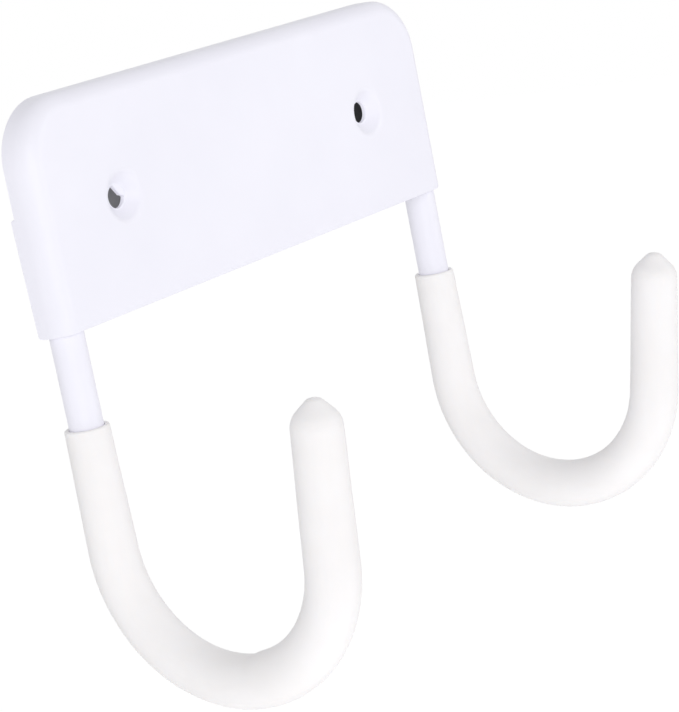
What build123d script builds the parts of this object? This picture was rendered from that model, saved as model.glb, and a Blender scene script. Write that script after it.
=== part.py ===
"""Ironing board hanger: a pressed steel cover that is screwed to a wall, with two hooks of round
steel bar welded inside it and a soft plastic sleeve pushed over each hook.

Millimetres and degrees. +X is to the right of someone who faces the wall, +Y points into the wall
and +Z is up. The origin is on the wall, behind the middle of the cover."""
import os
from math import cos, radians, sin, tan

from build123d import *

# Hook bar: the two bends and tips differ a little, as each bar was bent by itself
rod_diameter = 8.0
hook_spacing = 144.2
hook_drop = 51.0
bend_radius = 30.7
left_bend_angle = 173.9
right_bend_angle = 169.2
left_tip_length = 32.7
right_tip_length = 31.6
rod_end_chamfer = 0.6
rod_top_gap = 1.5

# Pressed cover: each side tab reaches behind the bars at its top and tapers towards its foot
sheet = 1.2
cover_height = 52.1
cover_corner_radius = 14.4
edge_inside_radius = 2.8
rod_side_clearance = 0.1
tab_height = 27.0
tab_overhang = 0.3
tab_taper = 0.7
rim_set_back = 1.15
tab_corner_radius = 0.7
step_corner_radius = 0.25
lower_corner_radius = 0.8

# Screw holes, each in the floor of a pressed dimple, a little below the middle of the cover
hole_spacing = 98.3
hole_drop = 0.4
hole_diameter = 5.6
dimple_depth = 2.4
dimple_slope = 40.0
dimple_inside_bend = 3.5
dimple_land = 0.3

# Soft sleeves: the wall is thinnest at the mouth and thickest at the bottom of the bend
sleeve_clearance = 0.1
sleeve_rise = 29.0
mouth_wall = 1.1
bend_start_wall = 1.6
bend_middle_wall = 2.1
bend_end_wall = 2.05
shoulder_wall = 1.65
mouth_lip_radius = 0.45
nose_cone_height = 4.1
nose_top_radius = 1.65
nose_dome_height = 0.4
nose_shoulder_fillet = 5.2
nose_top_fillet = 1.9

# Weld beads along the inboard side of each bar
weld_length = 12.0
weld_end_gap = 3.0
weld_foot = 4.8
weld_root_angle = 17.5
weld_crest_angle = 55.0
weld_crown = 0.35

# Places that follow from the sizes above: the sleeves' backs touch the wall
rod_radius = rod_diameter / 2
bore_radius = rod_radius + sleeve_clearance
rod_y = -(bore_radius + bend_start_wall)
cover_inside_y = rod_y - rod_radius
cover_front_y = cover_inside_y - sheet
tab_y = rod_y + rod_radius + tab_overhang
rim_y = tab_y - rim_set_back
cover_half_width = hook_spacing / 2 + rod_radius + rod_side_clearance + sheet
cover_top = cover_height / 2
cover_bottom = -cover_height / 2
tab_top = cover_bottom + tab_height
bend_top = cover_bottom - hook_drop
rod_top = cover_top - cover_corner_radius - rod_top_gap
sleeve_mouth = bend_top + sleeve_rise


def cover_block(inset, overrun):
    """The cover as a filled block, set in by a wall and run on past its open back and bottom."""
    width = 2 * (cover_half_width - inset)
    top = cover_top - inset
    bottom = cover_bottom - overrun
    front = cover_front_y + inset
    back = tab_y + overrun
    outline = Pos(0, (top + bottom) / 2) * Rectangle(width, top - bottom)
    outline = fillet(outline.vertices().group_by(Axis.Y)[-1], cover_corner_radius - inset)
    block = extrude(Plane.XZ.offset(-back) * outline, back - front)
    rolled_edges = block.faces().sort_by(Axis.Y)[0].edges().sort_by(Axis.Z)[1:]
    return fillet(rolled_edges, edge_inside_radius + sheet - inset)


def side_view():
    """The cover from the side, X as depth and Y as height: a tab reaches furthest back at its top, and
    above it the rim stands forward."""
    front = cover_front_y - sheet
    above = cover_top + sheet
    foot = (tab_y - tab_taper, cover_bottom)
    tab_corner = (tab_y, tab_top)
    step_corner = (rim_y, tab_top)
    corners = [(front, cover_bottom), foot, tab_corner, step_corner, (rim_y, above), (front, above)]
    outline = make_face(Polyline(*corners, close=True))
    radii = {foot: lower_corner_radius, tab_corner: tab_corner_radius, step_corner: step_corner_radius}
    for corner, radius in radii.items():
        outline = fillet(outline.vertices().sort_by_distance(corner)[:1], radius)
    return outline


def dimple_profile():
    """Half section of a dimple and its hole: X is the radius, Y the depth behind the cover's front."""
    bend = dimple_inside_bend + sheet
    hole_radius = hole_diameter / 2
    floor_radius = hole_radius + dimple_land
    slope = radians(dimple_slope)
    straight_depth = dimple_depth - 2 * bend * (1 - cos(slope))
    rim_radius = floor_radius + 2 * bend * sin(slope) + straight_depth / tan(slope)
    rim_centre = (rim_radius, bend)
    floor_centre = (floor_radius, dimple_depth - bend)
    front_rim = CenterArc(rim_centre, bend, -90, -dimple_slope)
    front_floor = CenterArc(floor_centre, bend, 90 - dimple_slope, dimple_slope)
    back_floor = CenterArc(floor_centre, bend + sheet, 90, -dimple_slope)
    back_rim = CenterArc(rim_centre, dimple_inside_bend, -90 - dimple_slope, dimple_slope)
    hole_front = (hole_radius, dimple_depth)
    hole_back = (hole_radius, dimple_depth + sheet)
    outline = [
        front_rim,
        Line(front_rim @ 1, front_floor @ 0),
        front_floor,
        Polyline(front_floor @ 1, hole_front, hole_back, back_floor @ 0),
        back_floor,
        Line(back_floor @ 1, back_rim @ 0),
        back_rim,
        Line(back_rim @ 1, front_rim @ 0),
    ]
    return make_face(outline), rim_radius


def make_cover():
    """Pressed sheet: open back and bottom, rolled edges, stepped side flanges, dimpled screw holes."""
    shell = cover_block(0, sheet) - cover_block(sheet, cover_height)
    cover = shell & extrude(Plane.YZ * side_view(), 2 * cover_half_width, both=True)
    section, rim_radius = dimple_profile()
    dimple = revolve(section, Axis.Y)
    opening = Plane.XZ.offset(-cover_inside_y) * Circle(rim_radius)
    for side in (-1, 1):
        place = Pos(side * hole_spacing / 2, 0, -hole_drop)
        cover -= place * extrude(opening, sheet)
        cover += place * Pos(0, cover_front_y, 0) * dimple
    return cover


def hook_line(side, start, bend_angle, tip_length):
    """Shank, bend and tip of a hook's centre line, from a height on the shank to the end of the tip."""
    hook_plane = Plane.YZ.offset(side * hook_spacing / 2)
    shank = Line((rod_y, start), (rod_y, bend_top))
    bend = JernArc(shank @ 1, shank % 1, bend_radius, -bend_angle)
    tip = PolarLine(bend @ 1, tip_length, direction=bend % 1)
    return [hook_plane * piece for piece in (shank, bend, tip)]


def section_at(edge, place, radius):
    """A round section square to an edge, at a share of its length."""
    return Plane(edge @ place, x_dir=(1, 0, 0), z_dir=edge % place) * Circle(radius)


def make_rod(side, bend_angle, tip_length):
    """Round bar, straight inside the cover and bent into a hook below it."""
    line = hook_line(side, rod_top, bend_angle, tip_length)
    rod = sweep(section_at(line[0], 0, rod_radius), Wire(line))
    ends = rod.edges().filter_by(GeomType.CIRCLE).sort_by_distance(line[0] @ 0)[:1]
    return chamfer(ends, rod_end_chamfer)


def mouth_profile():
    """Half section of a sleeve's straight run: X is the radius, Y the height above the bend."""
    lip = (bore_radius + mouth_wall, sleeve_rise)
    corners = [(0, 0), (bore_radius + bend_start_wall, 0), lip, (0, sleeve_rise)]
    outline = make_face(Polyline(*corners, close=True))
    return fillet(outline.vertices().sort_by_distance(lip)[:1], mouth_lip_radius)


def nose_profile(tip_length):
    """Half section of a sleeve's tip: X is the radius, Y the distance from the end of the bend."""
    shoulder = tip_length + sleeve_clearance
    cone_end = shoulder + nose_cone_height
    outline = make_face(
        Polyline(
            (0, 0),
            (bore_radius + bend_end_wall, 0),
            (bore_radius + shoulder_wall, shoulder),
            (nose_top_radius, cone_end),
            (0, cone_end + nose_dome_height),
            close=True,
        )
    )
    corners = outline.vertices().sort_by(Axis.Y)
    outline = fillet(corners[2:3], nose_shoulder_fillet)
    corners = outline.vertices().sort_by(Axis.Y)
    return fillet(corners[-2:-1], nose_top_fillet)


def make_sleeve(side, bend_angle, tip_length):
    """Soft sleeve: a tapering tube round the hook, open towards the cover and closed by a blunt cone."""
    shank, bend, tip = hook_line(side, sleeve_mouth, bend_angle, tip_length + sleeve_clearance)
    mouth = Pos(shank @ 1) * Rot(90, 0, 0) * revolve(mouth_profile(), Axis.Y)
    bend_sections = [
        section_at(bend, 0, bore_radius + bend_start_wall),
        section_at(bend, 0.5, bore_radius + bend_middle_wall),
        section_at(bend, 1, bore_radius + bend_end_wall),
    ]
    curve = sweep(bend_sections, bend, multisection=True)
    nose = revolve(nose_profile(tip_length), Axis.Y)
    nose = Plane(bend @ 1, x_dir=(1, 0, 0), z_dir=bend % 1) * Rot(90, 0, 0) * nose
    sleeve = mouth + curve + nose
    return sleeve - sweep(section_at(shank, 0, bore_radius), Wire([shank, bend, tip]))


def make_welds(side):
    """Two beads between a bar and the cover's inside, on the side of the bar towards the middle."""
    rod_x = side * hook_spacing / 2

    def on_bar(angle):
        """A point on the bar's surface, at an angle from the line where it touches the cover."""
        turn = radians(angle)
        return (rod_x - side * rod_radius * sin(turn), rod_y - rod_radius * cos(turn))

    root, crest = on_bar(weld_root_angle), on_bar(weld_crest_angle)
    foot = (rod_x - side * weld_foot, cover_inside_y)
    outline = [
        Polyline(root, (root[0], cover_inside_y), foot),
        SagittaArc(foot, crest, side * weld_crown),
        ThreePointArc(crest, on_bar((weld_root_angle + weld_crest_angle) / 2), root),
    ]
    bead = extrude(make_face(outline), weld_length)
    lower_bead = cover_bottom + weld_end_gap
    upper_bead = rod_top - weld_end_gap - weld_length
    return Compound([Pos(0, 0, height) * bead.solid() for height in (lower_bead, upper_bead)])


os.makedirs("parts", exist_ok=True)
nodes = {"cover_plate": make_cover()}
hooks = {
    "left": (-1, left_bend_angle, left_tip_length),
    "right": (1, right_bend_angle, right_tip_length),
}
for name, (side, bend_angle, tip_length) in hooks.items():
    nodes[f"{name}_hook_rod"] = make_rod(side, bend_angle, tip_length)
    nodes[f"{name}_hook_sleeve"] = make_sleeve(side, bend_angle, tip_length)
    nodes[f"{name}_rod_welds"] = make_welds(side)
for node, shape in nodes.items():
    export_step(shape, f"parts/{node}.step")
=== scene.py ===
# %% [markdown]
# This lesson dresses a wall hanger for an ironing board. The real one is three kinds of piece: a cover
# pressed from steel sheet, two hooks bent from round bar and welded inside it, and a soft sleeve on each
# hook. The steel is powder coated after welding, so cover, bars and welds share one finish.
# The solids come packed at their true size. Here each one gets a finer mesh in the same place.

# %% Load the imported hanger
from math import cos, pi, radians, sin, tan

import bmesh
import bpy
import numpy as np
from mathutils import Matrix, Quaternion, Vector, geometry, noise


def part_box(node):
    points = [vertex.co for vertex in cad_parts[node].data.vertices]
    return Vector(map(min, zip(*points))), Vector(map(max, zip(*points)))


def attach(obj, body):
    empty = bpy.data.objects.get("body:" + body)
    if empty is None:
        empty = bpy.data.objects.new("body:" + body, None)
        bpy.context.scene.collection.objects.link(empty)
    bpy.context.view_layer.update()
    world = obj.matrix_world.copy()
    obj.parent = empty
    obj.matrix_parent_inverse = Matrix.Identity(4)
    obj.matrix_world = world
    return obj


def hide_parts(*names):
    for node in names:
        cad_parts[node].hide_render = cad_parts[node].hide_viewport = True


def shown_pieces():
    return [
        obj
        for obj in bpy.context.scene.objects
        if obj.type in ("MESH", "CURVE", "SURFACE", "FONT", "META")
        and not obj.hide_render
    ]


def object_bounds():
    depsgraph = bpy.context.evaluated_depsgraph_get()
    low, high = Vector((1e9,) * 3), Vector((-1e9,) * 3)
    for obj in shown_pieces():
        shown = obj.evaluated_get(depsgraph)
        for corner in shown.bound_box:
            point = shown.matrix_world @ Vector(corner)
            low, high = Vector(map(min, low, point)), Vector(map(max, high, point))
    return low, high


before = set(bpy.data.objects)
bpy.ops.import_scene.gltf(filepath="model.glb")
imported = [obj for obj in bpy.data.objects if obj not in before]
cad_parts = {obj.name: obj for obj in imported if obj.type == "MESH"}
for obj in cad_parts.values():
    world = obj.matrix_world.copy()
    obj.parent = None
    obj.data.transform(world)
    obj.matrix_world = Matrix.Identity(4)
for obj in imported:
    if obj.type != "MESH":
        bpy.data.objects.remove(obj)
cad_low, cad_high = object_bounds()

MM = 0.001
print("nodes:", sorted(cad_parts))

# %% [markdown]
# The cover is one sheet, so it starts as its outer skin alone: flanges, a rolled edge and a flat front.
# Its outline has straight sides, two rounded corners and a straight top. A curve object could carry the
# rolled edge round it, but the edge has to change its shape on the way. So points along the outline, each
# with its outward direction, are the stations that the rolled edge is hung on.

# %% The cover's outline
cover_low, cover_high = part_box("cover_plate")
half_width, cover_top, cover_bottom = cover_high.x, cover_high.z, cover_low.z
front_y = cover_low.y
corner_radius = 14.4 * MM
corner_start = cover_top - corner_radius
side_count, corner_count, top_count = 39, 25, 33
side_heights = np.linspace(cover_bottom, corner_start, side_count)


def outline_stations():
    """Points (x, z) and outward directions on the outline, from the left foot over the top to the right."""
    left = [((-half_width, height), (-1.0, 0.0)) for height in side_heights]
    centre = Vector((corner_radius - half_width, corner_start))
    for angle in np.radians(np.linspace(180, 90, corner_count)[1:]):
        outward = Vector((cos(angle), sin(angle)))
        left.append((tuple(centre + outward * corner_radius), tuple(outward)))
    top = [((x, cover_top), (0.0, 1.0)) for x in np.linspace(centre.x, -centre.x, top_count)[1:-1]]
    right = [((-x, z), (-across, up)) for (x, z), (across, up) in reversed(left)]
    return left + top + right


stations = outline_stations()
print("cover outline stations:", len(stations))

# %% [markdown]
# At each station the sheet makes a quarter turn from the flange to the front. The turn is round along the
# top, and along the sides it reaches further back, so that the light fades slowly across it. The turns of
# all stations are joined into a band of four-sided faces, which bend smoothly and stay even. Over the
# corners and the top a second band carries on along the flange to the back rim. The foot of the cover was
# sheared before it was rolled, so its two corners don't end quite level: the right one is a little short,
# the left one a little long.

# %% The rolled edge and the top flange
skin_points, skin_faces = [], []
bar_low, bar_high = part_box("left_hook_rod")
roll_radius, side_roll_depth, roll_steps = 4.0 * MM, 6.0 * MM, 12
tab_overhang, rim_set_back = 0.3 * MM, 1.15 * MM
tab_y = bar_high.y + tab_overhang
rim_y = tab_y - rim_set_back
right_short, left_long, trim_reach = 1.2 * MM, 0.35 * MM, 6.0 * MM


def trimmed(x, y, z, share):
    """A point of the skin with its foot off level, by a share of 1 on the flange and 0 on the front."""
    near = max(0.0, 1 - (z - cover_bottom) / trim_reach)
    return x, y, z + (right_short if x > 0 else -left_long) * share * near * near


def add_band(band_stations, start_y, section):
    """Join a section, set up at each station, into a band of faces. A point of the section is given by how
    far it is set in, its share of the way from a depth to the roll's end, and its share of the trim."""
    first, rows = len(skin_points), len(section)
    for (x, z), (across, up) in band_stations:
        roll_end = front_y + roll_radius + (side_roll_depth - roll_radius) * across * across
        for inset, way, trim in section:
            y = start_y + (roll_end - start_y) * way
            skin_points.append(trimmed(x - across * inset, y, z - up * inset, trim))
    for station in range(len(band_stations) - 1):
        for row in range(rows - 1):
            near = first + station * rows + row
            skin_faces.append((near, near + rows, near + rows + 1, near + 1))


roll_section = []
for angle in np.linspace(0, pi / 2, roll_steps + 1):
    roll_section.append((roll_radius * (1 - cos(angle)), 1 - sin(angle), 1 - 2 * angle / pi))
flange_shares = np.linspace(0, 1, 5)
add_band(stations, front_y, roll_section)
add_band(stations[side_count - 1:1 - side_count], rim_y, [(0.0, share, 1.0) for share in flange_shares])
print("rolled edge and top flange:", len(skin_faces), "faces")

# %% [markdown]
# On the sides the flange is flat, and its back edge has a step: below it a tab reaches further back, and
# tapers towards its foot. The edge is drawn as height against depth, in the way of a toolmaker: a few
# straight runs with rounded corners. One helper turns such a drawing into points. The arcs could come from
# a bevel modifier, but a bevel rounds all corners alike, and here each corner has its own radius.

# %% The back edge of a side flange
nearly_straight = 0.001


def round_corners(corners, steps=6):
    """Points of a line through corners of (first, second, radius), with an arc at each inner corner."""
    places = [Vector(corner[:2]) for corner in corners]
    points = [places[0]]
    for before, corner, after, (_, _, radius) in zip(places, places[1:], places[2:], corners[1:]):
        back, ahead = (before - corner).normalized(), (after - corner).normalized()
        half_bend = (pi - back.angle(ahead)) / 2
        if radius == 0 or half_bend < nearly_straight:
            points.append(corner)
            continue
        reach = radius * tan(half_bend)
        centre = corner + (back + ahead).normalized() * (radius / cos(half_bend))
        start, end = corner + back * reach - centre, corner + ahead * reach - centre
        for step in range(steps + 1):
            points.append(centre + start.slerp(end, step / steps) * radius)
    points.append(places[-1])
    return np.array(points)


tab_height, tab_taper = 27.0 * MM, 0.7 * MM
tab_top, tab_foot_y = cover_bottom + tab_height, tab_y - tab_taper
foot_round, tab_round, step_round = 0.8 * MM, 0.7 * MM, 0.25 * MM
back_edge = round_corners([
    (cover_bottom, front_y, 0),
    (cover_bottom, tab_foot_y, foot_round),
    (tab_top, tab_y, tab_round),
    (tab_top, rim_y, step_round),
    (corner_start, rim_y, 0),
])[1:]
print("back edge of a side flange:", len(back_edge), "points")

# %% [markdown]
# The area within that edge is divided into triangles that keep to its borders. Squares could fill it too,
# but they can't follow the small corners of the step, and on a flat area triangles shade just as evenly.

# %% The side flanges
def spaced(section, longest):
    """The same section with points added, so that no run is longer than asked."""
    points = [section[0]]
    for start, end in zip(section, section[1:]):
        parts = max(1, int(np.ceil(np.linalg.norm(end - start) / longest)))
        points += [start + (end - start) * part / parts for part in range(1, parts + 1)]
    return np.array(points)


def fill_flat(loops, inner):
    """Points and triangles that fill the area within the first loop and keep to the lines of all loops."""
    points, edges = [], []
    for loop in loops:
        start, count = len(points), len(loop)
        points += [Vector(point) for point in loop]
        edges += [(start + place, start + (place + 1) % count) for place in range(count)]
    scaled = [Vector(point) / MM for point in points + inner]
    within, together = 1, 1e-5
    filled, _, triangles, *_ = geometry.delaunay_2d_cdt(scaled, edges, [], within, together)
    return [point * MM for point in filled], triangles


edge_spacing, row_spacing, row_end_gap = 1.2 * MM, 1.5 * MM, 0.8 * MM
side_roll_y = front_y + side_roll_depth
foot_depths = side_roll_y + (back_edge[0][1] - side_roll_y) * flange_shares
top_depths = rim_y + (side_roll_y - rim_y) * flange_shares
flange_loop = [(cover_bottom, y) for y in foot_depths[:-1]]
flange_loop += [tuple(point) for point in spaced(back_edge, edge_spacing)]
flange_loop += [(corner_start, y) for y in top_depths[1:-1]]
flange_loop += [(height, side_roll_y) for height in side_heights[:0:-1]]
row_heights = np.arange(cover_bottom + edge_spacing, corner_start - row_end_gap, row_spacing)
flange_inner = [(height, (side_roll_y + rim_y) / 2) for height in row_heights]
flange_points, flange_triangles = fill_flat([flange_loop], flange_inner)
for side in (-1, 1):
    first = len(skin_points)
    skin_points += [trimmed(side * half_width, y, height, 1.0) for height, y in flange_points]
    skin_faces += [[first + index for index in triangle] for triangle in flange_triangles]
print("side flange triangles:", len(flange_triangles))

# %% [markdown]
# Each screw hole sits at the bottom of a pressed dimple, which leaves room for the cone of a screw's head.
# The dimple is a shape of revolution, so its half section is drawn once and turned about the hole. A screw
# modifier would do it too, but plain rings share their outermost points with the flat front, so that the
# sheet stays in one piece. The coating makes the hole 0.1 mm tighter all round.
# In the left hole a web of metal and coating is left standing at the upper right, with one straight edge.

# %% The half section of a dimple
hole_centre, hole_height = 49.15 * MM, -0.4 * MM
hole_radius, dimple_depth = 2.7 * MM, 2.6 * MM
rim_bend, floor_bend, dimple_land, dimple_slope = 2.0 * MM, 0.15 * MM, 0.25 * MM, radians(43)
half_turn = tan(dimple_slope / 2)
floor_corner = hole_radius + dimple_land + floor_bend * half_turn
face_corner = floor_corner + dimple_depth / tan(dimple_slope)
rim_radius = face_corner + rim_bend * half_turn
dimple_section = round_corners([
    (rim_radius, 0, 0),
    (face_corner, 0, rim_bend),
    (floor_corner, dimple_depth, floor_bend),
    (hole_radius, dimple_depth, 0),
], steps=8)[1:]
print("dimple rim radius: %.2f mm" % (rim_radius / MM))

# %% The dimples and their holes
ring_count = 144
ring_angles = np.linspace(0, 2 * pi, ring_count, endpoint=False)
web_angle, web_distance, web_end, web_blend = radians(39), 1.2 * MM, radians(-39), radians(12)


def hole_edge(side, angle):
    """Radius of a hole's edge at an angle: round, but for the straight edge of the web in the left one."""
    off = (angle - web_angle + pi) % (2 * pi) - pi
    if side > 0 or cos(off) <= 0:
        return hole_radius
    straight = min(hole_radius, web_distance / cos(off))
    round_share = min(max((web_end - off) / web_blend, 0.0), 1.0)
    return straight + (hole_radius - straight) * round_share


last_ring = len(dimple_section) - 1
for side in (-1, 1):
    first = len(skin_points)
    for ring, (radius, depth) in enumerate(dimple_section):
        for angle in ring_angles:
            reach = hole_edge(side, angle) if ring == last_ring else radius
            x, z = side * hole_centre + reach * cos(angle), hole_height + reach * sin(angle)
            skin_points.append((x, front_y + depth, z))
    for ring in range(last_ring):
        for place in range(ring_count):
            after = (place + 1) % ring_count
            outer, inner = first + ring * ring_count, first + (ring + 1) * ring_count
            skin_faces.append((outer + place, outer + after, inner + after, inner + place))
print("rings in a dimple:", len(dimple_section))

# %% [markdown]
# The flat front fills what is left between the rolled edge and the two dimples. It could be one large face
# with two holes cut in it, but even triangles shade better, so it is filled in the same way as the side
# flanges. The triangles within the rims of the dimples are left out again.

# %% The flat front
grid, foot_count, rim_share = 3.5 * MM, 41, 0.9
hole_centres = [Vector((side * hole_centre, hole_height)) for side in (-1, 1)]
front_loop = [(x - across * roll_radius, z - up * roll_radius) for (x, z), (across, up) in stations]
foot_xs = np.linspace(front_loop[-1][0], front_loop[0][0], foot_count)
front_loop += [(x, cover_bottom) for x in foot_xs[1:-1]]
rim_circle = [Vector((cos(angle), sin(angle))) * rim_radius for angle in ring_angles]
rim_loops = [[centre + point for point in rim_circle] for centre in hole_centres]
front_inner = list(hole_centres)
for x in np.arange(corner_radius - half_width, half_width - corner_radius, grid):
    for z in np.arange(cover_bottom + grid, cover_top - roll_radius - grid, grid):
        if all((Vector((x, z)) - centre).length > rim_radius + grid / 2 for centre in hole_centres):
            front_inner.append((x, z))
front_points, front_triangles = fill_flat([front_loop, *rim_loops], front_inner)
first = len(skin_points)
skin_points += [(point.x, front_y, point.y) for point in front_points]
for triangle in front_triangles:
    middle = sum((front_points[index] for index in triangle), Vector((0, 0))) / 3
    if all((middle - centre).length > rim_share * rim_radius for centre in hole_centres):
        skin_faces.append([first + index for index in triangle])
print("front triangles:", len(front_triangles))

# %% [markdown]
# So far each part of the skin has points of its own along the lines where it meets the next one. Joined
# there, the skin has only its true borders left: the back rim with the foot, and the two holes.

# %% One skin
def joined_form(points, faces, together=1e-7):
    """A form of the given faces, with points that lie together made one and all faces turned one way."""
    form = bmesh.new()
    corners = [form.verts.new(point) for point in points]
    for face in faces:
        form.faces.new([corners[index] for index in face])
    bmesh.ops.delete(form, geom=[point for point in form.verts if not point.link_faces], context="VERTS")
    bmesh.ops.remove_doubles(form, verts=form.verts, dist=together)
    bmesh.ops.recalc_face_normals(form, faces=form.faces)
    return form


def border_loops(form):
    """The skin's borders, each as a list of points in order, with the skin always on the same hand."""
    onward = {}
    for edge in form.edges:
        if edge.is_boundary:
            corner = edge.link_loops[0]
            onward[corner.vert] = corner.link_loop_next.vert
    loops = []
    while onward:
        point, after = onward.popitem()
        loop = [point]
        while after in onward:
            loop.append(after)
            after = onward.pop(after)
        loops.append(loop)
    return loops


skin = joined_form(skin_points, skin_faces, together=2e-6)
print("skin:", len(skin.verts), "points and", len(border_loops(skin)), "borders")

# %% [markdown]
# The skin gets its thickness inward, as in the press, and powder coat rounds every sheared edge: the back
# rim, the foot of the cover and both holes. A solidify and a bevel modifier could do that, but at the small
# corners of the step a bevel folds over itself. So the edge is drawn: at each point of the skin's border
# the section turns from the outer face over a small arc, along the cut, and over another arc to the inner
# face.

# %% The sheet and its coated edges
sheet, coated_edge, edge_steps = 1.2 * MM, 0.22 * MM, 4


def edge_rows():
    """The cut edge as pairs of (outward along the skin, inward across it), from outer to inner face."""
    turns = np.linspace(0, pi / 2, edge_steps + 1)
    over = [(coated_edge * (sin(t) - 1), coated_edge * (1 - cos(t))) for t in turns]
    return over + [(out, sheet - inward) for out, inward in reversed(over)]


def thicken(form):
    """Give a skin its thickness inward and close it with rounded edges."""
    form.normal_update()
    normals = {point: point.normal.copy() for point in form.verts}
    outer_faces, loops = list(form.faces), border_loops(form)
    outward = {}
    for loop in loops:
        for before, point, after in zip(loop[-1:] + loop[:-1], loop, loop[1:] + loop[:1]):
            along = (after.co - before.co).normalized()
            outward[point] = along.cross(normals[point]).normalized()
    edges = {point: point.co.copy() for point in outward}
    for point, away in outward.items():
        point.co -= away * coated_edge
    inner = {point: form.verts.new(point.co - normal * sheet) for point, normal in normals.items()}
    for face in outer_faces:
        form.faces.new([inner[point] for point in reversed(face.verts)])
    for loop in loops:
        rings = [loop]
        for out, inward in edge_rows()[1:-1]:
            rings.append([form.verts.new(edges[p] + outward[p] * out - normals[p] * inward) for p in loop])
        rings.append([inner[point] for point in loop])
        for near, far in zip(rings, rings[1:]):
            for place, before in enumerate(near):
                form.faces.new((near[place - 1], before, far[place], far[place - 1]))
    bmesh.ops.recalc_face_normals(form, faces=form.faces)


thicken(skin)
print("sheet:", len(skin.verts), "points")

# %% [markdown]
# A form becomes a piece of the hanger: a smooth mesh that stands for an imported solid and rides with it.
# On the cover a weighted normal modifier keeps the flat areas flat next to the narrow rows of the edges.
# Sharp edges would do that too, but they would break the soft look of the coat.

# %% The pressed cover
def dress(name, node, form):
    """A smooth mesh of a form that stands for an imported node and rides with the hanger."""
    mesh = bpy.data.meshes.new(name)
    form.to_mesh(mesh)
    form.free()
    mesh.shade_smooth()
    piece = bpy.data.objects.new(name, mesh)
    bpy.context.scene.collection.objects.link(piece)
    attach(piece, "root")
    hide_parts(node)
    print(name, len(mesh.vertices), "points")
    return piece


cover = dress("pressed_cover", "cover_plate", skin)
shading = cover.modifiers.new("flat areas stay flat", "WEIGHTED_NORMAL")
shading.weight = 100

# %% [markdown]
# A hook is a shank, a bend and a tip. Bars and sleeves follow the same centre line, so one function gives
# the line's points, and at each point the direction away from the middle of the bend. A curve object
# with a bevel would also make a round bar, but here the sleeve has to change its thickness along the way.
# The two hooks were bent one at a time: the angles and the tips differ a little.

# %% The hooks' centre lines
bar_radius = (bar_high.x - bar_low.x) / 2
bar_y = bar_high.y - bar_radius
bar_top = bar_high.z
bend_radius, hook_drop = 30.7 * MM, 51.0 * MM
bend_start = cover_bottom - hook_drop
hooks = {"left": (radians(173.9), 32.7 * MM), "right": (radians(169.2), 31.6 * MM)}
hook_x = {name: sum(corner.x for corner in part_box(name + "_hook_rod")) / 2 for name in hooks}


def along_hook(name, length):
    """A point on a hook's line and its outward direction, at a length past the start of the bend."""
    bend_angle, _ = hooks[name]
    turn = min(max(length / bend_radius, 0.0), bend_angle)
    outward = Vector((0, cos(turn), -sin(turn)))
    onward = Vector((0, -sin(turn), -cos(turn)))
    point = Vector((hook_x[name], bar_y - bend_radius, bend_start)) + outward * bend_radius
    return point + onward * (length - turn * bend_radius), outward


def sweep_section(name, section, around, relief=None):
    """A form of a round section of (length, radius) carried along a hook."""
    points, faces = [], []
    for row, (length, radius) in enumerate(section):
        point, outward = along_hook(name, length)
        for step in range(around):
            angle = 2 * pi * step / around
            swell = relief(row, length, angle) if relief else 0.0
            reach = max(radius + swell, 0.0)
            across = Vector((reach * cos(angle), 0, 0))
            points.append(point + across + outward * (reach * sin(angle)))
    for row in range(len(section) - 1):
        for step in range(around):
            after = (step + 1) % around
            near, far = row * around, (row + 1) * around
            faces.append((near + step, near + after, far + after, far + step))
    return joined_form(points, faces)


print("hooks at x =", {name: round(x / MM, 2) for name, x in hook_x.items()}, "mm")

# %% [markdown]
# Each bar is plain round steel. Its sawn top end has a small chamfer, which shows only from behind, and
# its lower end lies hidden inside the sleeve. A cylinder could be bent by a modifier, but the section that
# is carried along the hook gives the bar and its chamfer in one.

# %% The hook bars
bar_chamfer, end_round, chamfer_round = 0.6 * MM, 0.2 * MM, 0.4 * MM
bar_spacing, bar_sides = 1.2 * MM, 64
for name, (bend_angle, tip_length) in hooks.items():
    top, end = bend_start - bar_top, bend_angle * bend_radius + tip_length
    section = round_corners([
        (top, 0, 0),
        (top, bar_radius - bar_chamfer, end_round),
        (top + bar_chamfer, bar_radius, chamfer_round),
        (end, bar_radius, end_round),
        (end, 0, 0),
    ], steps=4)
    form = sweep_section(name, spaced(section, bar_spacing), bar_sides)
    dress(name + "_hook_bar", name + "_hook_rod", form)

# %% [markdown]
# The sleeves are soft vinyl, pushed on over the tip. Their wall is thinnest at the mouth and thickest in
# the bend, and a blunt cone closes the end. The section runs from the end of the bore out of the mouth and
# back along the outside, so that bore and outside are one closed wall.

# %% The section of a sleeve
clearance = 0.1 * MM
bore = bar_radius + clearance
mouth_rise = 29.0 * MM
walls = {"mouth": 1.1 * MM, "bend start": 1.6 * MM, "bend middle": 2.1 * MM, "bend end": 2.05 * MM,
         "shoulder": 1.65 * MM}
cone_height, cone_top, dome_height = 4.1 * MM, 1.65 * MM, 0.4 * MM
bore_round, mouth_round, lip_round = 0.4 * MM, 0.3 * MM, 0.45 * MM
easing, shoulder_round, nose_round = 60 * MM, 5.2 * MM, 1.9 * MM


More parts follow.
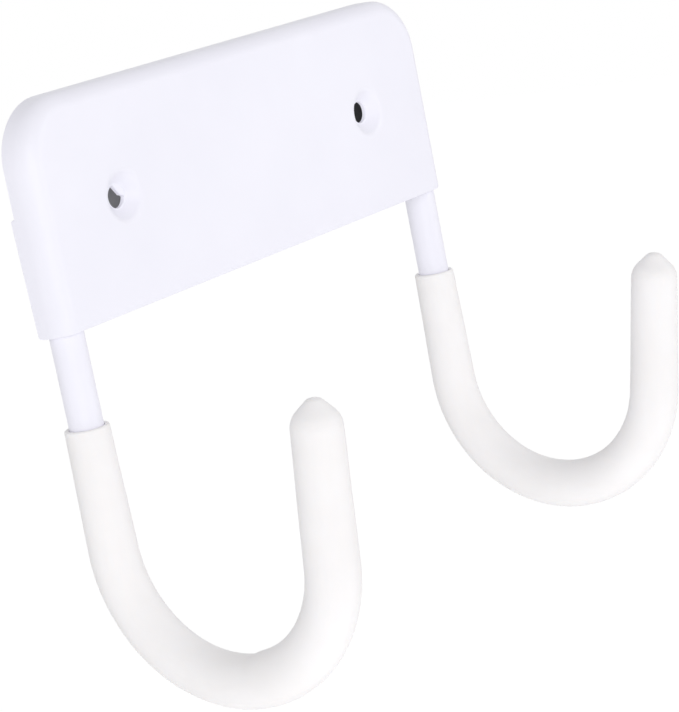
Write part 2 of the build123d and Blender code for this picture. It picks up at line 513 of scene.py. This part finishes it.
def sleeve_section(bend_angle, tip_length):
    """Section of (length, radius) from the end of the bore, out of the mouth and along the outside."""
    bend = bend_angle * bend_radius
    bore_end = bend + tip_length + clearance
    cone_end = bore_end + cone_height
    return round_corners([
        (bore_end, 0, 0),
        (bore_end, bore, bore_round),
        (-mouth_rise, bore, mouth_round),
        (-mouth_rise, bore + walls["mouth"], lip_round),
        (0, bore + walls["bend start"], easing),
        (bend / 2, bore + walls["bend middle"], easing),
        (bend, bore + walls["bend end"], easing),
        (bore_end, bore + walls["shoulder"], shoulder_round),
        (cone_end, cone_top, nose_round),
        (cone_end + dome_height, 0, 0),
    ], steps=10)


for name, hook in hooks.items():
    print(name, "sleeve section:", len(sleeve_section(*hook)), "points")

# %% [markdown]
# Soft vinyl is never quite even: it swells and dips by a few hundredths of a millimetre, and where the left
# sleeve is squeezed on the inside of the bend it has a crease. A bump in the finish could draw them, but
# modelled in the mesh they also show on the outline.

# %% The soft sleeves
swell_height, swell_length, swell_around = 0.05 * MM, 9.0 * MM, 0.6
swell_seeds = {"left": 40.0, "right": 0.0}
crease_place = radians(97) * bend_radius
fold_length, fold_height, fold_rise = 33.0 * MM, 0.42 * MM, 0.12
groove_depth, groove_width = 0.16 * MM, 0.9 * MM
even_rows, sleeve_spacing, sleeve_sides = 12, 0.9 * MM, 72


def crease(length, angle):
    """The left sleeve's crease inside the bend: a groove, then a fold that fades along the bend."""
    inside = max(0.0, -sin(angle)) ** 2
    past = (length - crease_place) / fold_length
    groove = groove_depth * np.exp(-((length - crease_place) / groove_width) ** 2)
    rise = min(max(past / fold_rise, 0.0), 1.0)
    fold = fold_height * rise * rise * (3 - 2 * rise) * max(0.0, 1 - past)
    return inside * (fold - groove)


def soft_relief(name, section):
    """How far a sleeve's outside stands proud of its drawing, as a function of row, length and angle."""
    mouth_row = int(np.argmin(section[:, 0]))

    def relief(row, length, angle):
        if row < mouth_row + even_rows:
            return 0.0
        along = length / swell_length + swell_seeds[name]
        place = Vector((swell_around * cos(angle), swell_around * sin(angle), along))
        swell = swell_height * noise.noise(place)
        return swell + crease(length, angle) if name == "left" else swell
    return relief


for name, hook in hooks.items():
    section = spaced(sleeve_section(*hook), sleeve_spacing)
    form = sweep_section(name, section, sleeve_sides, soft_relief(name, section))
    dress(name + "_soft_sleeve", name + "_hook_sleeve", form)

# %% [markdown]
# Inside the cover two short beads of weld hold each bar. A bead fills the corner between bar and sheet and
# is laid down drop by drop, so its face has overlapping ripples and its ends run out. A straight fillet
# would be simpler, but it would read as putty. So a cross-section is drawn anew at each small step.

# %% The cross-section of a weld bead
weld_length, run_out, end_share = 12.0 * MM, 2.2 * MM, 0.25
ripple_pitch, ripple_depth = 1.5 * MM, 0.10
root_angle, bead_angle = 12, 43
foot_start, weld_foot, crown_height = 1.2 * MM, 4.8 * MM, 0.35 * MM
sheet_inside = front_y + sheet
crown_steps = 12


def bead_share(run):
    """How full the bead is at a distance from its start: it runs out at the ends and ripples between."""
    to_end = min(run, weld_length - run) / run_out
    full = 1.0 if to_end >= 1 else (1 - (1 - to_end) ** 2) ** 0.5
    phase = (run / ripple_pitch) % 1.0
    return end_share + (1 - end_share) * full * (1 - ripple_depth * phase ** 2)


def bead_ring(name, share, height):
    """One cross-section of a bead, from its root between bar and sheet over its crown."""
    inboard = 1 if name == "left" else -1
    centre = Vector((hook_x[name], bar_y))

    def on_bar(degrees):
        turn = radians(degrees)
        return centre + Vector((inboard * sin(turn), -cos(turn))) * bar_radius

    root, crest = on_bar(root_angle), on_bar(root_angle + bead_angle * share)
    foot_reach = foot_start + (weld_foot - foot_start) * share
    foot = Vector((hook_x[name] + inboard * foot_reach, sheet_inside))
    outward = Vector((crest.y - foot.y, foot.x - crest.x)).normalized() * inboard
    ring = [root, Vector((root.x, sheet_inside))]
    for step in range(crown_steps + 1):
        t = step / crown_steps
        ring.append(foot.lerp(crest, t) + outward * (crown_height * share * 4 * t * (1 - t)))
    return [(point.x, point.y, height) for point in ring]


print("fullness at the end and in the middle of a bead:", bead_share(0), bead_share(weld_length / 2))

# %% The weld beads
weld_end_gap, bead_steps = 3.0 * MM, 97


def bead_mesh(name, start):
    """Points and faces of one bead that starts at a height and runs upwards."""
    points, faces = [], []
    for run in np.linspace(0, weld_length, bead_steps):
        points += bead_ring(name, bead_share(run), start + run)
    size = len(points) // bead_steps
    for step in range(bead_steps - 1):
        for place in range(size):
            after = (place + 1) % size
            near, far = step * size, (step + 1) * size
            faces.append((near + place, near + after, far + after, far + place))
    faces.append(tuple(range(size)))
    faces.append(tuple(range((bead_steps - 1) * size, bead_steps * size)))
    return points, faces


for name in hooks:
    points, faces = [], []
    for start in (cover_bottom + weld_end_gap, bar_top - weld_end_gap - weld_length):
        bead_points, bead_faces = bead_mesh(name, start)
        faces += [tuple(index + len(points) for index in face) for face in bead_faces]
        points += bead_points
    dress(name + "_weld_beads", name + "_rod_welds", joined_form(points, faces))

# %% [markdown]
# Both finishes are built from the same few steps: a noise, a colour or value graded across it, and a bump
# made from it. The noise is measured in metres on the object, so a feature has its true size from any side.
# Painted textures could do the same, but they need unwrapped surfaces and show their seams.

# %% The steps of a finish
def new_material(name):
    """A material with its node tree and its main shader."""
    material = bpy.data.materials.new(name)
    material.use_nodes = True
    return material, material.node_tree, material.node_tree.nodes["Principled BSDF"]


def noise_of(tree, size, detail=2.0):
    """A noise on the object whose features are about the given size."""
    texture = tree.nodes.new("ShaderNodeTexNoise")
    texture.inputs["Scale"].default_value = 1 / size
    texture.inputs["Detail"].default_value = detail
    place = tree.nodes.new("ShaderNodeTexCoord").outputs["Object"]
    tree.links.new(place, texture.inputs["Vector"])
    return texture.outputs["Fac"]


def graded(tree, value, low, high, start=0.35, end=0.65):
    """A value or colour that runs from low to high across the middle of a noise."""
    ramp = tree.nodes.new("ShaderNodeValToRGB")
    for element, position, shade in zip(ramp.color_ramp.elements, (start, end), (low, high)):
        element.position = position
        element.color = (*shade, 1) if hasattr(shade, "__len__") else (shade, shade, shade, 1)
    tree.links.new(value, ramp.inputs["Fac"])
    return ramp.outputs["Color"]


def bumped(tree, height, depth, strength, under=None):
    """A bump of a given depth, on top of another bump if there is one."""
    bump = tree.nodes.new("ShaderNodeBump")
    bump.inputs["Distance"].default_value = depth
    bump.inputs["Strength"].default_value = strength
    tree.links.new(height, bump.inputs["Height"])
    if under is not None:
        tree.links.new(under, bump.inputs["Normal"])
    return bump.outputs["Normal"]


coat, coat_tree, coat_shader = new_material("white_powder_coat")
vinyl, vinyl_tree, vinyl_shader = new_material("soft_white_vinyl")
print("finishes:", coat.name, vinyl.name)

# %% [markdown]
# Powder coat is a thin plastic skin, baked on. It is never quite smooth: it has a fine dimpled texture, a
# little like the peel of an orange, and its gloss varies softly. One flat colour with one gloss would look
# like paper, so colour, gloss and surface each follow a noise of their own scale.

# %% White powder coat
coat_pale, coat_bright = (0.855, 0.848, 0.930), (0.872, 0.865, 0.945)
coat_tint = graded(coat_tree, noise_of(coat_tree, 30 * MM), coat_pale, coat_bright)
coat_gloss = graded(coat_tree, noise_of(coat_tree, 6 * MM, 3), 0.36, 0.44)
peel = bumped(coat_tree, noise_of(coat_tree, 0.9 * MM, 1), depth=0.012 * MM, strength=0.5)
grain = noise_of(coat_tree, 0.18 * MM)
coat_grain = bumped(coat_tree, grain, depth=0.002 * MM, strength=0.4, under=peel)
coat_tree.links.new(coat_tint, coat_shader.inputs["Base Color"])
coat_tree.links.new(coat_gloss, coat_shader.inputs["Roughness"])
coat_tree.links.new(coat_grain, coat_shader.inputs["Normal"])
coat_shader.inputs["Specular IOR Level"].default_value = 0.35
print(coat.name, len(coat_tree.nodes), "nodes")

# %% [markdown]
# The vinyl of the sleeves is a warmer white with a satin surface. A little light goes into it and comes out
# close by, which softens its shading. A paler colour could imitate that, but only from one side, so the
# shader has some subsurface scattering. Its bump is finer and flatter than the coat's.

# %% Soft white vinyl
vinyl_pale, vinyl_bright = (0.885, 0.867, 0.871), (0.905, 0.889, 0.898)
vinyl_tint = graded(vinyl_tree, noise_of(vinyl_tree, 14 * MM, 3), vinyl_pale, vinyl_bright)
satin = graded(vinyl_tree, noise_of(vinyl_tree, 4 * MM, 3), 0.46, 0.56)
waves = bumped(vinyl_tree, noise_of(vinyl_tree, 2.5 * MM), depth=0.02 * MM, strength=0.4)
grain = noise_of(vinyl_tree, 0.25 * MM)
vinyl_grain = bumped(vinyl_tree, grain, depth=0.004 * MM, strength=0.5, under=waves)
vinyl_tree.links.new(vinyl_tint, vinyl_shader.inputs["Base Color"])
vinyl_tree.links.new(satin, vinyl_shader.inputs["Roughness"])
vinyl_tree.links.new(vinyl_grain, vinyl_shader.inputs["Normal"])
vinyl_shader.inputs["Specular IOR Level"].default_value = 0.3
vinyl_shader.inputs["Subsurface Weight"].default_value = 0.15
vinyl_shader.inputs["Subsurface Radius"].default_value = (1.0, 0.9, 0.8)
vinyl_shader.inputs["Subsurface Scale"].default_value = 1.0 * MM
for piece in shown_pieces():
    piece.data.materials.clear()
    piece.data.materials.append(vinyl if "sleeve" in piece.name else coat)

# %% [markdown]
# The hanger floats as it would on its wall, so the floor is well below it, with its shadow out of the
# picture. The studio is white to the eye, but more light from it would wash the hanger out. So floor and
# surroundings are white only where one sees them, and light the hanger at a plain level.

# %% The floor
def worked_out(tree, operation, first, second):
    """A sum on two values, each a socket or a plain number, that is kept between zero and one."""
    node = tree.nodes.new("ShaderNodeMath")
    node.operation = operation
    node.use_clamp = True
    for socket, value in zip(node.inputs, (first, second)):
        if isinstance(value, float):
            socket.default_value = value
        else:
            tree.links.new(value, socket)
    return node.outputs[0]


def seen_directly(tree):
    """One where a ray comes straight from the camera, a reflection or through glass, else zero."""
    path = tree.nodes.new("ShaderNodeLightPath").outputs
    mirrored = worked_out(tree, "MAXIMUM", path["Is Camera Ray"], path["Is Glossy Ray"])
    return worked_out(tree, "MAXIMUM", mirrored, path["Is Transmission Ray"])


def mix_surface(tree, share, first, second):
    """Let a material's surface go from one shader to another as a share goes from zero to one."""
    mixed = tree.nodes.new("ShaderNodeMixShader")
    tree.links.new(share, mixed.inputs["Fac"])
    tree.links.new(first, mixed.inputs[1])
    tree.links.new(second, mixed.inputs[2])
    tree.links.new(mixed.outputs["Shader"], tree.nodes["Material Output"].inputs["Surface"])


def stage_face(name, corners, material):
    """One flat face that belongs to the studio, not to the hanger."""
    mesh = bpy.data.meshes.new(name)
    mesh.from_pydata(corners, [], [tuple(range(len(corners)))])
    mesh.materials.append(material)
    flat = bpy.data.objects.new(name, mesh)
    bpy.context.scene.collection.objects.link(flat)
    print(name, len(corners), "corners")


floor_reach, floor_drop, white_share = 8.0, 0.90, 0.85
floor_z = cad_low.z - floor_drop
floor_signs = ((-1, -1), (1, -1), (1, 1), (-1, 1))
floor_corners = [(x * floor_reach, y * floor_reach, floor_z) for x, y in floor_signs]
floor_finish, floor_tree, floor_shader = new_material("pale_floor")
floor_shader.inputs["Base Color"].default_value = (0.80, 0.80, 0.80, 1)
floor_shader.inputs["Roughness"].default_value = 0.9
glow = floor_tree.nodes.new("ShaderNodeEmission")
glow.inputs["Color"].default_value = (1, 1, 1, 1)
glow.inputs["Strength"].default_value = 1.1
floor_white = worked_out(floor_tree, "MULTIPLY", seen_directly(floor_tree), white_share)
mix_surface(floor_tree, floor_white, floor_shader.outputs["BSDF"], glow.outputs["Emission"])
stage_face("studio_floor", floor_corners, floor_finish)

# %% The light all round
around_light = 0.59
world = bpy.data.worlds.new("white_studio")
bpy.context.scene.world = world
world.use_nodes = True
sky = world.node_tree
level = sky.nodes.new("ShaderNodeMapRange")
level.inputs["To Min"].default_value = around_light
level.inputs["To Max"].default_value = 1.0
sky.links.new(seen_directly(sky), level.inputs["Value"])
sky.links.new(level.outputs["Result"], sky.nodes["Background"].inputs["Strength"])
sky.nodes["Background"].inputs["Color"].default_value = (1, 1, 1, 1)
print("light from all round:", around_light)

# %% [markdown]
# A broad lamp stands near the camera and a weaker one at the front right. They could be small and near, but
# then the light would fall off across the hanger, so both are large and far away. Two small amounts of
# light come from the left and from below, so that the cut edge at the foot of the cover and the undersides
# of the hooks don't go dark.

# %% The lamps
def lamp(name, azimuth, elevation, watts, far, size):
    """A square soft lamp that looks at the middle of the hanger, with its angles in degrees."""
    around, up = radians(azimuth), radians(elevation)
    away = Vector((sin(around) * cos(up), -cos(around) * cos(up), sin(up)))
    data = bpy.data.lights.new(name, "AREA")
    data.size = size
    data.energy = watts
    lamp_object = bpy.data.objects.new(name, data)
    lamp_object.location = (cad_low + cad_high) / 2 + away * far
    lamp_object.rotation_euler = (-away).to_track_quat("-Z", "Y").to_euler()
    bpy.context.scene.collection.objects.link(lamp_object)
    print(name, watts, "W")


lamp("key_lamp", -52, 11, 33.2, far=3.0, size=2.16)
lamp("right_lamp", 35, 10, 22, far=3.0, size=2.16)
lamp("left_lamp", -105, -25, 1.9, far=1.25, size=0.9)
lamp("low_lamp", -30, -75, 1.1, far=0.7, size=0.6)

# %% [markdown]
# Through the screw holes one looks into the shaded hollow behind the cover. A closed back could make that
# dark, but the hanger has none. So a small dark card, part of the studio, stands behind each hole. The card
# is painted shade that stands in for the shadow there: grey behind the left hole, nearly black behind the
# right. It is dark only where one looks at its front. From behind and for all other light it is clear, so
# that it neither hides nor darkens the inside of the cover.

# %% Painted shade behind the screw holes
card_y, card_half_width, card_half_height = -3.2 * MM, 13.0 * MM, 7.0 * MM


def painted_shade_card(name, x, shade):
    """An oval card of painted shade facing the front, matt and dark where that side is seen, clear
    elsewhere.
    """
    material, tree, shader = new_material(name)
    shader.inputs["Base Color"].default_value = (shade, shade, shade, 1)
    shader.inputs["Roughness"].default_value = 1.0
    shader.inputs["Specular IOR Level"].default_value = 0.0
    clear = tree.nodes.new("ShaderNodeBsdfTransparent")
    back_seen = tree.nodes.new("ShaderNodeNewGeometry").outputs["Backfacing"]
    front_seen = worked_out(tree, "SUBTRACT", seen_directly(tree), back_seen)
    mix_surface(tree, front_seen, clear.outputs["BSDF"], shader.outputs["BSDF"])
    oval = [(card_half_width * cos(angle), card_half_height * sin(angle)) for angle in ring_angles]
    stage_face(name, [(x + across, card_y, hole_height + up) for across, up in oval], material)


# painted shade: grey behind the left hole, nearly black behind the right, for the shadow in the hollow
painted_shade_card("shade_card_left", -hole_centre, 0.25)
painted_shade_card("shade_card_right", hole_centre, 0.046)

# %% [markdown]
# The camera stands to the left of the hanger and a little above it, with the picture tilted. It could be
# turned by hand until the view fits, but an aim point, two angles, a distance and a roll say it exactly.

# %% The camera
aim = Vector((0, -24.38, -52.33)) * MM
azimuth, elevation, roll = radians(-52.485), radians(10.995), radians(-11.217)
distance, lens, sensor_width = 630.98 * MM, 131.92, 36.0
outward = Vector((sin(azimuth) * cos(elevation), -cos(azimuth) * cos(elevation), sin(elevation)))
camera = bpy.data.objects.new("camera", bpy.data.cameras.new("camera"))
camera.data.lens = lens
camera.data.sensor_width = sensor_width
camera.location = aim + outward * distance
camera.rotation_mode = "QUATERNION"
camera.rotation_quaternion = (-outward).to_track_quat("-Z", "Y") @ Quaternion((0, 0, 1), roll)
bpy.context.scene.collection.objects.link(camera)
bpy.context.scene.camera = camera
bpy.context.scene.view_settings.view_transform = "Standard"
print("camera at", [round(value, 4) for value in camera.location])
